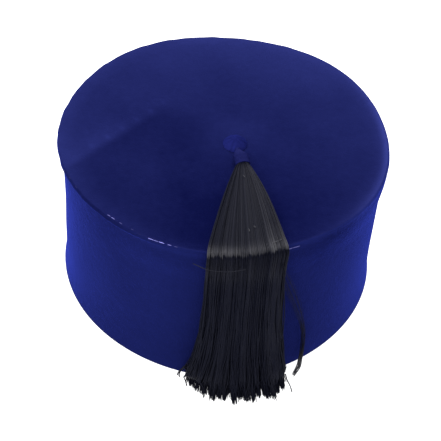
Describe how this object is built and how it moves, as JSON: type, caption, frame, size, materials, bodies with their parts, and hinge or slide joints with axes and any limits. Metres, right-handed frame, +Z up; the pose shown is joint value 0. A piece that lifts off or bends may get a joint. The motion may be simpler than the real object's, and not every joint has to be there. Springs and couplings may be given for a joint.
{
  "type": "velvet fez with a tassel",
  "caption": "Stiff round flat-topped velvet cap, open below for a head, with a thread tassel sewn to a button on its top and hanging down its front.",
  "frame": {"origin": "middle of the hat's box, the tassel included, in the plane of the rim, which is the surface that the hat stands on", "axes": "+Z up through the crown's top, -Y the side that the tassel hangs down, +X to the right of someone who faces the tassel"},
  "size_m": [0.1906, 0.2114, 0.1014],
  "materials": {
    "velvet_side": "dark blue short-pile velvet with a bright blue sheen at grazing angles",
    "velvet_top": "dark blue short-pile velvet, brushed flat",
    "velvet_button": "gathered dark blue velvet",
    "binding_cord": "wound dark cord, satin",
    "tassel_thread": "black silky thread"
  },
  "bodies": {
    "root": {"crown_side": "velvet_side", "crown_top": "velvet_top", "crown_button": "velvet_button", "tassel_binding": "binding_cord", "tassel": "tassel_thread"}
  },
  "joints": []
}
